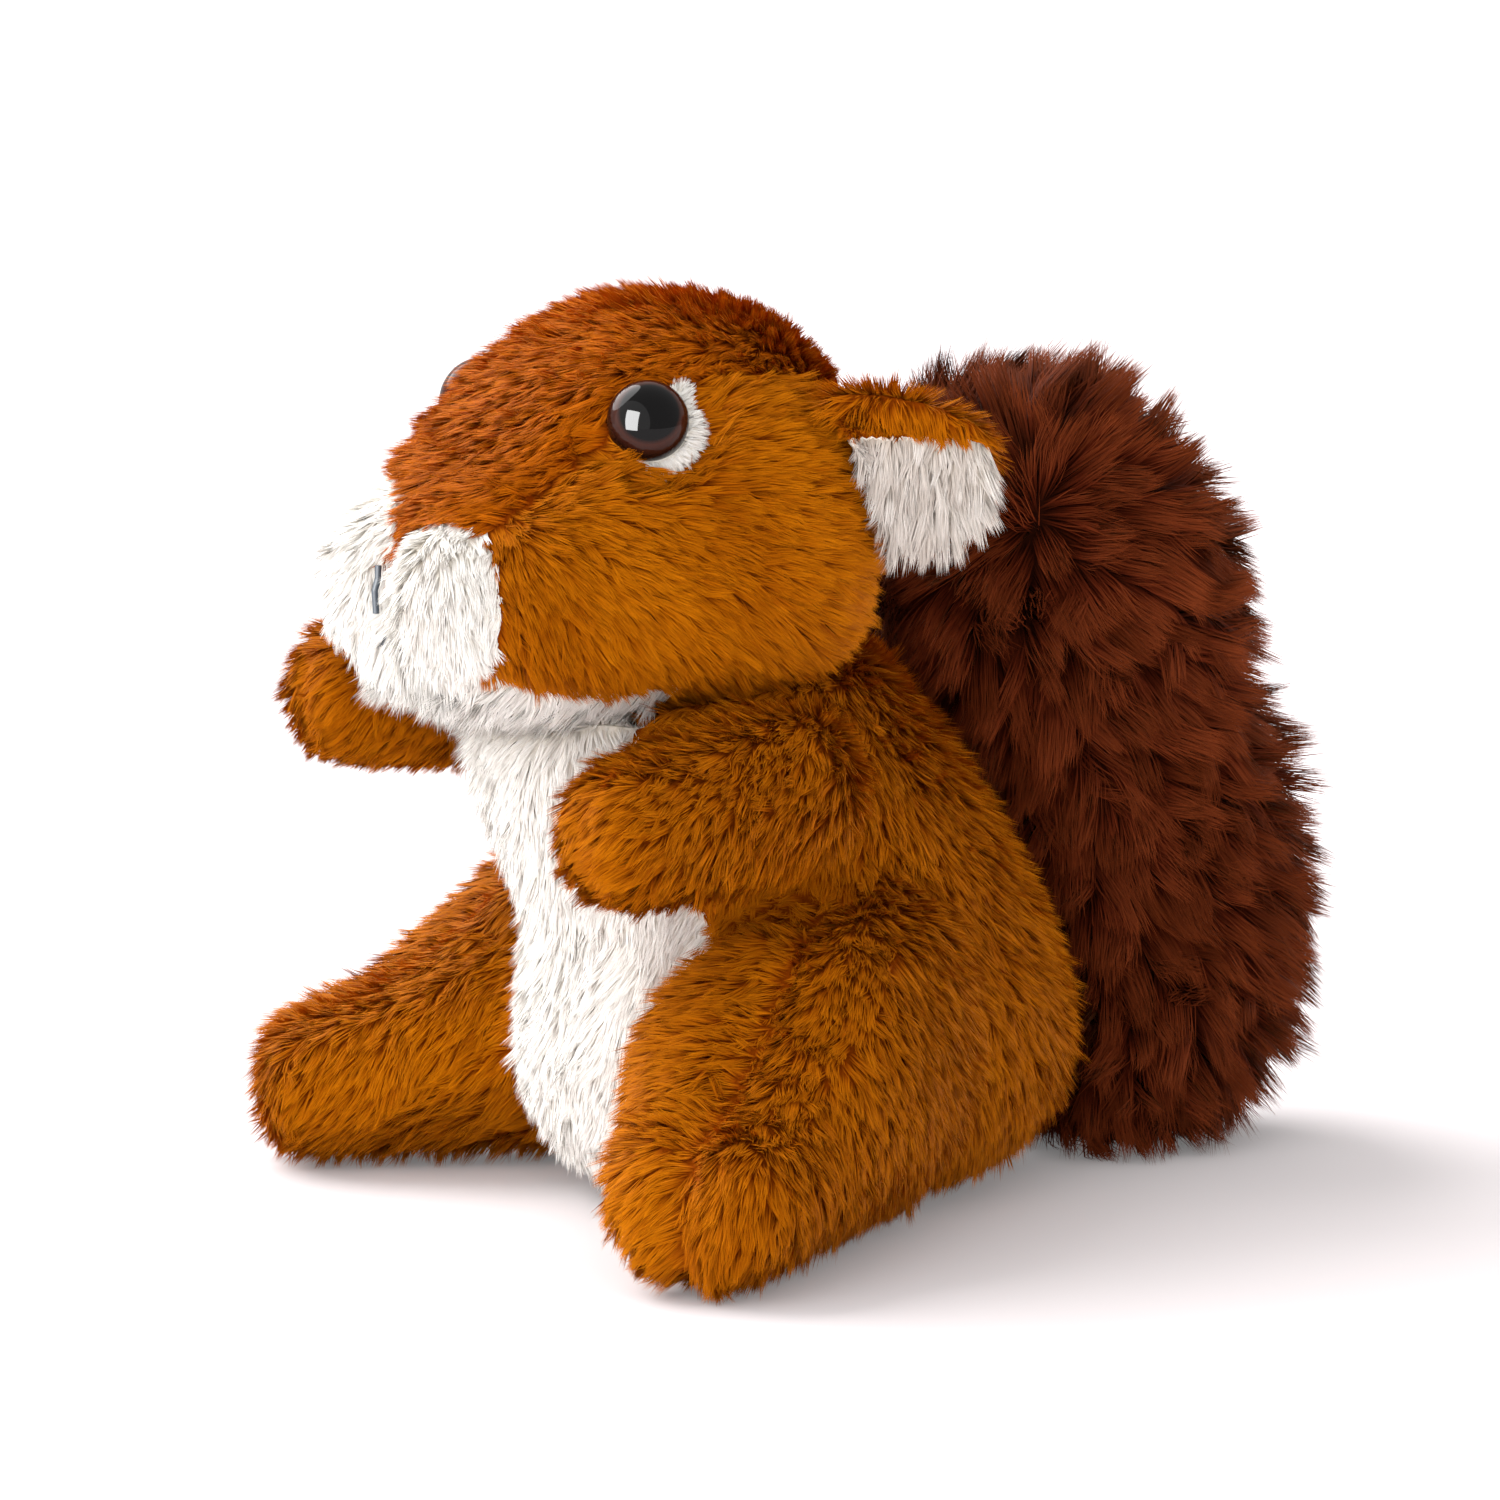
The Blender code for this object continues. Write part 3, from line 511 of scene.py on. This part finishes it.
class Eye:
    """Where an eye sits in the face, and the white crescent behind it."""

    def __init__(self, hand):
        eye = solids([f"{hand}_eye"])
        felt = solids([f"{hand}_eye_felt"])
        self.facing = max(felt.faces, key=lambda face: face.normal.dot(TOWARDS[hand])).normal.copy()
        self.base = max((vert.co for vert in eye.verts), key=self.facing.dot) - self.facing * EYE_HEIGHT
        self.middle = np.array(self.base + self.facing * 0.5 * MM)
        eye.free()
        felt.free()
        back = Vector((0.0, 1.0, 0.0))
        self.aft = (back - self.facing * back.dot(self.facing)).normalized()
        self.above = self.facing.cross(self.aft)
        self.above *= math.copysign(1.0, self.above.z)
        self.hand = hand

    def local(self, places):
        """How far places are towards the back of the head, upwards and out along the way the eye faces."""
        return (places - np.array(self.base)) @ np.array([self.aft, self.above, self.facing]).T

    def gap(self, places):
        """How far places lie outside the white crescent, seen along the way the eye faces."""
        aft, above, out = self.local(places).T
        apart = np.hypot(aft, above) - crescent(np.arctan2(above, aft))
        return np.where(np.abs(out) < EYE_CLEAR * 1.5, apart, EYE_CLEAR)

    def shows_white(self, places):
        """Whether places on the crescent are where it is wide enough to be seen beside the eye."""
        aft, above, _ = self.local(places).T
        wide = crescent(np.arctan2(above, aft)) - EYE_RADIUS
        return (np.hypot(aft, above) > EYE_RADIUS * 0.85) & (wide > 0.3 * MM)

    def place(self, shape):
        """Moves a bmesh from the eye's own frame to its place in the face."""
        turn = Matrix((self.aft, self.above, self.facing)).transposed().to_4x4()
        shape.transform(Matrix.Translation(self.base) @ turn)
        if turn.determinant() < 0:
            bmesh.ops.reverse_faces(shape, faces=shape.faces)


def crescent(around):
    """The white crescent's outer radius: wide behind the eye, with a corner, and narrower below."""
    degrees = np.degrees(around)
    beyond = sum(height * hill(degrees, middle, reach) for height, middle, reach in CRESCENT)
    return EYE_RADIUS + (beyond - CRESCENT_SUNK) * MM


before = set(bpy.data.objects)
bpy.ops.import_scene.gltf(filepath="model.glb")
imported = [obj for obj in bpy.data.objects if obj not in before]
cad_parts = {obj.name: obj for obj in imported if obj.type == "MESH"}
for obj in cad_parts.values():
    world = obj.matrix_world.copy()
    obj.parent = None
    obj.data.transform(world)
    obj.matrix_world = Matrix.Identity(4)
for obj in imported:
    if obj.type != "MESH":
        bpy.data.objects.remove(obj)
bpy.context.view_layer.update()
scene = bpy.context.scene
eyes = {hand: Eye(hand) for hand in HANDS}

# Looks of the pile, each from its own dye, with roots darkened as painted shade and tips paler, partly as
# painted highlight
WHITE_PILE = pile_material(
    "white polyester plush",
    colour("#EFE9DE"),
    colour("#FAF8F4"),
    colour("#FEFDFB"),
    (0.62, 0.55, 0.5, 1),
    (1.03, 1.02, 1.0, 1),
    colour("#FFFFFF"),
)
GOLDEN_PILE = pile_material(
    "golden polyester plush",
    colour("#772D02"),
    colour("#A95A05"),
    colour("#BC6C08"),
    (0.66, 0.5, 0.4, 1),
    (1.25, 1.3, 1.3, 1),
    colour("#E08A10"),
)
CHESTNUT_PILE = pile_material(
    "chestnut polyester plush",
    colour("#7F3303"),
    colour("#B05604"),
    colour("#C26808"),
    (0.62, 0.5, 0.4, 1),
    (1.25, 1.3, 1.3, 1),
    colour("#D07810"),
)
TAIL_PILE = pile_material(
    "dark long polyester plush",
    colour("#220A04"),
    colour("#4C1A0B"),
    colour("#7C391B"),
    (0.5, 0.45, 0.4, 1),
    (1.3, 1.3, 1.3, 1),
    colour("#A0603A"),
)


def backing(name, shade):
    """Knitted backing cloth, seen only as the depth between the locks of pile, its darker colour painted
    shade there.
    """
    return principled(name, Base_Color=shade, Roughness=0.9, Specular_IOR_Level=0.0)[0]


# Backings take the piles' dark root colours: painted shade between the locks
GOLDEN_SHADED_BACKING = backing("golden knitted backing", colour("#7B3503"))
WHITE_BACKING = backing("white knitted backing", colour("#EFE9DE"))
CHESTNUT_SHADED_BACKING = backing("chestnut knitted backing", colour("#732C02"))
DARK_SHADED_BACKING = backing("dark knitted backing", colour("#240D06"))


def back(skin, backings):
    """Gives a skin's panels their backing cloths, in the panels' order."""
    kinds = list(dict.fromkeys(backings))
    for kind in kinds:
        skin.mesh.materials.append(kind)
    numbers = np.array([kinds.index(kind) for kind in backings])
    of_polygon = np.zeros(len(skin.mesh.polygons), np.int32)
    of_polygon[skin.polygons] = numbers[skin.labels]
    skin.mesh.polygons.foreach_set("material_index", of_polygon)


def step_up(values, low, high):
    """A smooth step from 0 at low to 1 at high."""
    share = np.clip((values - low) / (high - low), 0.0, 1.0)
    return share * share * (3 - 2 * share)


def both(*parts):
    """The names of these parts on both sides."""
    return [f"{hand}_{part}" for part in parts for hand in HANDS]


HEAD_PANELS = ["head_gusset", "chin_panel", *both("cheek_panel", "muzzle_patch")]


def trim_muzzle(labels, middles):
    """Ends the gusset in a blunt tip above the nose, between the two white patches."""
    x, y, z = middles.T
    edge = TIP_HEIGHT + TIP_RISE * (1 - hill(x, 0, TIP_REACH)) + RIGHT_PATCH_HIGHER * (x < RIGHT_PATCH_EDGE)
    gusset, left, right = map(HEAD_PANELS.index, ["head_gusset", *both("muzzle_patch")])
    below = (labels == gusset) & (z < edge) & (y < FACE_EDGE)
    return np.where(below, np.where(x > 0, left, right), labels)


def trim_ear(labels, middles):
    """Rolls the ear's brown back, its second panel, over the top of its white front."""
    return np.where(middles[:, 2] > EAR_EDGE, 1, labels)


def mould_head(places, normals):
    """Swells the muzzle patches, sinks the valley between them, and lowers the throat on to the body."""
    x, y, z = places.T / MM
    front = 1 / (1 + np.exp((y + 46) / 3))
    muzzle = hill(np.abs(x), 9, 6) * PATCH_SWELL - hill(x, 0, 2.2) * VALLEY_DEPTH
    throat = step_up(-normals[:, 2], 0.3, 0.9) * step_up(y, -52, -40)
    outwards = (front * hill(z, 80, 9) * muzzle + throat * THROAT_DROP) * MM
    moved = places + normals * outwards[:, None]
    for eye in eyes.values():
        aft, above, out = eye.local(moved).T
        apart = np.hypot(aft, above)
        seat = -DENT_DEPTH - apart**2 / (60 * MM)
        hold = (1 - step_up(apart, DENT_INNER, DENT_OUTER)) * (np.abs(out) < 2 * DENT_OUTER)
        moved += np.outer((seat - out) * hold, np.array(eye.facing))
    return moved


def mould_tail(places, normals):
    """Fills the tail out towards the head and back, which it leans on, and shapes its rear outline."""
    z = places[:, 2] / MM
    ahead = step_up(-normals[:, 1], 0.0, 0.7) * hill(z, 70, 19) * TAIL_AHEAD
    behind = step_up(normals[:, 1], 0.0, 0.7) * (hill(z, 75, 7) - hill(z, 60, 5) * TAIL_NOTCH)
    return places + np.outer(behind - ahead, (0.0, MM, 0.0))


def mould_body(places, normals):
    """Raises the neck into the head's throat, fills out the left thigh and flattens the right one."""
    neck = step_up(places[:, 2], NECK_FROM, NECK_TO)
    moved = places + (normals * 0.8 + (0.0, 0.0, 0.6)) * (neck * NECK_RISE * MM)[:, None]
    for middle, reach, height in THIGHS:
        near = np.exp(-(((places / MM - middle) ** 2).sum(axis=1)) / reach**2)
        moved += normals * (near * height * MM)[:, None]
    return moved


head = Skin(
    "head_skin",
    HEAD_PANELS,
    ["head_filling", *both("eye_washer")],
    "golden_plush",
    SUNK["head"],
    shaping=mould_head,
    trimmed=trim_muzzle,
)
back(head, [CHESTNUT_SHADED_BACKING, WHITE_BACKING, *[GOLDEN_SHADED_BACKING] * 2, *[WHITE_BACKING] * 2])
body = Skin(
    "body_skin",
    ["belly_panel", *both("side_panel", "leg_inner_panel")],
    ["body_filling"],
    "golden_plush",
    SUNK["body"],
    shaping=mould_body,
    crease=BODY_CREASE,
)
body.near_seam[body.places[:, 2] < TOE_HEIGHT] = NO_SEAM
back(body, [WHITE_BACKING, *[GOLDEN_SHADED_BACKING] * 4])
tail = Skin(
    "tail_skin", both("tail_panel"), ["tail_filling"], "tail_plush", SUNK["tail"], shaping=mould_tail
)
back(tail, [DARK_SHADED_BACKING] * 2)
arms, ears = {}, {}
for hand in HANDS:
    panels = [f"{hand}_arm_outer_panel", f"{hand}_arm_inner_panel"]
    arms[hand] = Skin(f"{hand}_arm_skin", panels, [f"{hand}_arm_filling"], "golden_plush", SUNK["arm"])
    back(arms[hand], [GOLDEN_SHADED_BACKING] * 2)
    panels = [f"{hand}_ear_front", f"{hand}_ear_back"]
    ears[hand] = Skin(
        f"{hand}_ear_skin", panels, [], "white_plush", SUNK["ear"], EAR_VOXEL, trimmed=trim_ear
    )
    back(ears[hand], [WHITE_BACKING, GOLDEN_SHADED_BACKING])


def lathe(profile, steps):
    """A bmesh spun about Z from a line of (radius, height) points."""
    shape = bmesh.new()
    line = [shape.verts.new((radius, 0.0, height)) for radius, height in profile]
    edges = [shape.edges.new(pair) for pair in zip(line, line[1:])]
    bmesh.ops.spin(
        shape, geom=line + edges, cent=(0, 0, 0), axis=(0, 0, 1), angle=math.tau, steps=steps, use_merge=True
    )
    bmesh.ops.remove_doubles(shape, verts=shape.verts, dist=0.001 * MM)
    bmesh.ops.recalc_face_normals(shape, faces=shape.faces)
    return shape


def finished(name, shape, look, slot, *stands_for):
    """A shown piece from a bmesh."""
    mesh = bpy.data.meshes.new(name)
    shape.to_mesh(mesh)
    shape.free()
    mesh.shade_smooth()
    mesh.materials.append(look)
    piece = link(bpy.data.objects.new(name, mesh))
    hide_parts(*stands_for)
    return piece


def acrylic():
    """Clear moulded acrylic over a black pupil. The eye gets a sharp window light and a brown rim."""
    made, tree, shader = principled("moulded acrylic eye", Roughness=0.04, Specular_IOR_Level=0.16)
    share = node(tree, "ShaderNodeAttribute", {"attribute_name": "from_axis"})
    rings = [(0.0, "#030202"), (0.70, "#040202"), (0.80, "#3A1A10"), (0.92, "#2A120B"), (1.0, "#100604")]
    shade = ramp(tree, share.outputs["Fac"], [(at, colour(code)) for at, code in rings])
    tree.links.new(shade, shader.inputs["Base Color"])
    return made


ACRYLIC = acrylic()
FELT = principled("short white plush", Base_Color=colour("#F4EFE4"), Roughness=0.95, Sheen_Weight=0.3)[0]
THREAD = principled("slate embroidery thread", Base_Color=colour("#2F3A46"), Roughness=0.6)[0]


class Patch:
    """A flat piece of cloth that carries pile, with the values that grow() reads from a skin.

    The order of a disc's faces differs from run to run, so its triangles are sorted by their vertices.
    """

    def __init__(self, piece):
        self.nodes = [piece.name]
        self.places = read(piece.data.vertices, "co", 3)
        self.normals = read(piece.data.vertices, "normal", 3)
        corners = []
        for polygon in piece.data.polygons:
            ring = list(polygon.vertices)
            first = ring.index(min(ring))
            ring = ring[first:] + ring[:first]
            corners += [(ring[0], *pair) for pair in zip(ring[1:], ring[2:])]
        self.corners = np.array(sorted(corners))
        self.labels = np.zeros(len(self.corners), int)
        self.near_seam = np.full(len(self.places), NO_SEAM)
        self.from_seam = np.zeros((len(self.places), 3))


def eye_dome(eye):
    """The moulded eye, which knows at each vertex its share of the way from the axis to the rim."""
    rim = 0.7 * MM
    line = [(0.0, -1.0 * MM), (EYE_RADIUS * 0.96, -1.0 * MM), (EYE_RADIUS, 0.2 * MM)]
    for step in range(17):
        rise = math.pi / 2 * step / 16
        line.append((EYE_RADIUS * math.cos(rise), rim + (EYE_HEIGHT - rim) * math.sin(rise)))
    shape = lathe(line, 64)
    shares = [vert.co.xy.length / EYE_RADIUS for vert in shape.verts]
    eye.place(shape)
    piece = finished(f"{eye.hand}_eye_dome", shape, ACRYLIC, "eye_plastic", f"{eye.hand}_eye")
    piece.data.attributes.new("from_axis", "FLOAT", "POINT").data.foreach_set("value", shares)


def eye_white(eye):
    """The white crescent behind an eye, a thin disc under short pile."""
    shape = bmesh.new()
    bmesh.ops.create_circle(shape, segments=96, radius=1.0, cap_ends=True, cap_tris=True)
    for vert in shape.verts:
        reach = crescent(math.atan2(vert.co.y, vert.co.x))
        vert.co.z = -0.5 * MM * vert.co.xy.length
        vert.co.xy *= reach
    bmesh.ops.solidify(shape, geom=shape.faces, thickness=0.4 * MM)
    eye.place(shape)
    return finished(f"{eye.hand}_eye_white", shape, FELT, "felt", f"{eye.hand}_eye_felt")


# Eyes, and the short white pile beside them, which lies away from the eye
for hand, eye in eyes.items():
    eye_dome(eye)
    patch = Patch(eye_white(eye))
    grow(
        f"{hand}_eye_white_pile",
        patch,
        patch.nodes,
        "felt",
        WHITE_PILE,
        lambda places: unit(places - np.array(eye.base)),
        density=45.0,
        length=1.7 * MM,
        within=eye.shows_white,
        width=0.18 * MM,
        lean=45.0,
        lock=0.6 * MM,
        tone=0.85,
    )

# Ways that the pile lies: it leaves the crown's top, spreads from the muzzle's corner, and runs downwards
GUSSET_COMB = combed((0.1, -0.9, -0.35), (0.0, -6.0, 112.0), 0.5)
CHEEK_COMB = combed((0.0, 0.1, -0.25), (15.0, -52.0, 90.0), 1.0)
MUZZLE_COMB = combed((0.1, 0.05, -1.0), (0.0, -62.0, 90.0), 0.4)
CHIN_COMB = combed((0.1, -0.4, -0.8))
BELLY_COMB = combed((0.0, -0.1, -1.0))
SIDE_COMB = combed((0.0, -0.05, -0.8), (5.0, 15.0, 60.0), 0.7)
LEG_COMB = combed((-0.35, -0.7, -0.6))
ARM_COMB = combed((0.0, -0.8, -0.6))
EAR_COMB = combed((-0.2, -0.45, -0.75), (26.0, -12.0, 97.0), 0.7)
TAIL_COMB = combed((0.0, 0.15, -0.25), (15.5, 25.5, 84.0), 1.1)

# Piles of the head and belly: the white ones lie flatter and more even
FLATTER = {"lean": 68.0, "gather": 0.35, "tone": 0.75, "mottle": 0.06}
for name, skin, panels, slot, look, comb, density, length, lie in (
    ("gusset_pile", head, ["head_gusset"], "chestnut_plush", CHESTNUT_PILE, GUSSET_COMB, 20.0, 4.6, {}),
    ("cheek_pile", head, both("cheek_panel"), "golden_plush", GOLDEN_PILE, CHEEK_COMB, 19.0, 4.8, {}),
    ("muzzle_pile", head, both("muzzle_patch"), "white_plush", WHITE_PILE, MUZZLE_COMB, 24.0, 3.8, FLATTER),
    ("chin_pile", head, ["chin_panel"], "white_plush", WHITE_PILE, CHIN_COMB, 20.0, 5.4, FLATTER),
    ("belly_pile", body, ["belly_panel"], "white_plush", WHITE_PILE, BELLY_COMB, 14.0, 4.0, FLATTER),
):
    grow(name, skin, panels, slot, look, comb, density, length * MM, **lie)

# Piles of the two sides: the right side isn't seen, so it is thinner, and a leg's inner panel is made paler
# as painted light
SIDE_DENSITY = {"left": 14.0, "right": 10.0}
for hand in HANDS:
    for part, comb, tone in (("side", SIDE_COMB, 0.5), ("leg_inner", LEG_COMB, 0.68)):
        grow(
            f"{hand}_{part}_pile",
            body,
            [f"{hand}_{part}_panel"],
            "golden_plush",
            GOLDEN_PILE,
            comb,
            density=SIDE_DENSITY[hand],
            length=4.7 * MM,
            parting=1.4,
            tone=tone,
        )
    front, rear = ears[hand].nodes
    # The ear's white front gets a low tone, darkened as painted shade
    for name, skin, panels, slot, look, comb, density, length, tone in (
        (f"{hand}_arm", arms[hand], arms[hand].nodes, "golden_plush", GOLDEN_PILE, ARM_COMB, 16.0, 4.6, 0.5),
        (front, ears[hand], [front], "white_plush", WHITE_PILE, EAR_COMB, 16.0, 5.6, 0.1),
        (rear, ears[hand], [rear], "chestnut_plush", GOLDEN_PILE, EAR_COMB, 14.0, 4.2, 0.5),
    ):
        grow(f"{name}_pile", skin, panels, slot, look, comb, density, length * MM, tone=tone)
    grow(
        f"{hand}_tail_pile",
        tail,
        [f"{hand}_tail_panel"],
        "tail_plush",
        TAIL_PILE,
        TAIL_COMB,
        density=9.0,
        length=10.5 * MM,
        width=0.2 * MM,
        lean=46.0,
        lock=2.8 * MM,
        gather=0.55,
        stir=0.38,
        steps=2,
        mottle=0.2,
    )


def thread(node_name, axis, sunk):
    """A stitch of thread that stands for a CAD one, a little deeper in the pile, and runs along an axis."""
    low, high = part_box(node_name)
    shape = solids([node_name])
    places = np.array([vert.co for vert in shape.verts])
    shape.free()
    spots = np.linspace(low[axis], high[axis], 9)
    middles = [places[np.argsort(np.abs(places[:, axis] - spot))[:8]].mean(axis=0) for spot in spots]
    curve = bpy.data.curves.new(f"{node_name}_thread", "CURVE")
    curve.dimensions = "3D"
    curve.bevel_depth = 0.4 * MM
    curve.bevel_resolution = 3
    curve.use_fill_caps = True
    spline = curve.splines.new("NURBS")
    spline.points.add(len(middles) - 1)
    for target, place in zip(spline.points, middles):
        target.co = (place[0], place[1] + sunk, place[2], 1)
    spline.use_endpoint_u = True
    spline.order_u = 3
    curve.materials.append(THREAD)
    piece = link(bpy.data.objects.new(f"{node_name}_thread", curve))
    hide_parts(node_name)


thread("nose_stitch", 2, 0.4 * MM)
thread("mouth_stitch", 0, 2.0 * MM)

# Studio: a paper floor, a white surround, two broad suns, and a window lamp that the eyes mirror
camera_data = bpy.data.cameras.new("camera")
camera_data.sensor_width = SENSOR_MM
camera_data.lens = SENSOR_MM * CAMERA_DISTANCE / VIEW_WIDTH
camera_data.shift_x = SHIFT_X
camera_data.shift_y = SHIFT_Y
camera_data.clip_start = 0.05
camera_data.clip_end = 20
camera = bpy.data.objects.new("camera", camera_data)
scene.collection.objects.link(camera)
camera.location = AIM + TOWARDS_CAMERA * CAMERA_DISTANCE
camera.rotation_euler = (-TOWARDS_CAMERA).to_track_quat("-Z", "Y").to_euler()
scene.camera = camera

floor_shape = bmesh.new()
bmesh.ops.create_grid(floor_shape, x_segments=1, y_segments=1, size=FLOOR_SIZE)
floor_mesh = bpy.data.meshes.new("floor")
floor_shape.to_mesh(floor_mesh)
floor_shape.free()
floor = bpy.data.objects.new("floor", floor_mesh)
scene.collection.objects.link(floor)
# White paper: the eye gets an even, bright ground with a soft shadow
paper, tree, shader = principled("white paper", Roughness=0.9, Specular_IOR_Level=0.0)
shader.inputs["Emission Color"].default_value = (1, 1, 1, 1)
seen = node(tree, "ShaderNodeLightPath").outputs["Is Camera Ray"]
lift = node(tree, "ShaderNodeMath", {"operation": "MULTIPLY"}, _0=seen, _1=FLOOR_LIFT)
tree.links.new(lift.outputs[0], shader.inputs["Emission Strength"])
paper_shade = node(tree, "ShaderNodeMix", {"data_type": "RGBA"}, _0=seen, _6=PAPER, _7=PAPER_SEEN)
tree.links.new(paper_shade.outputs[2], shader.inputs["Base Color"])
floor_mesh.materials.append(paper)

world = bpy.data.worlds.new("surround")
scene.world = world
world.use_nodes = True
sky = world.node_tree
sky.nodes.clear()
path = node(sky, "ShaderNodeLightPath")
strength = node(
    sky, "ShaderNodeMapRange", _0=path.outputs["Is Camera Ray"], _1=0.0, _2=1.0, _3=SURROUND, _4=1.0
)
light = node(sky, "ShaderNodeBackground", Color=(1.0, 1.0, 1.0, 1.0), Strength=strength.outputs[0])
node(sky, "ShaderNodeOutputWorld", Surface=light.outputs[0])


def way_to(right, above, back):
    """A direction given in the camera's terms."""
    nearer = TOWARDS_CAMERA.normalized()
    sideways = UP.cross(nearer).normalized()
    return (sideways * right + nearer.cross(sideways) * above + nearer * back).normalized()


def aim(light_data, way, distance):
    """Puts a lamp in the scene, this far from what the camera looks at."""
    light_piece = bpy.data.objects.new(light_data.name, light_data)
    scene.collection.objects.link(light_piece)
    light_piece.location = AIM + way * distance
    light_piece.rotation_euler = (-way).to_track_quat("-Z", "Y").to_euler()
    return light_piece


for name, energy, spread, way in (
    ("key", KEY, 55, way_to(-0.8, 1.0, -0.35)),
    ("fill", FILL, 100, way_to(-0.8, 0.1, 0.9)),
):
    sun = bpy.data.lights.new(name, "SUN")
    sun.energy = energy
    sun.angle = math.radians(spread)
    aim(sun, way, 1.0)
window = bpy.data.lights.new("window", "AREA")
window.shape = "RECTANGLE"
window.size, window.size_y = WINDOW_SIZE
window.energy = WINDOW_POWER
aim(window, way_to(-0.55, 0.2, 0.8), WINDOW_DISTANCE).visible_diffuse = False

scene.view_settings.view_transform = "Standard"
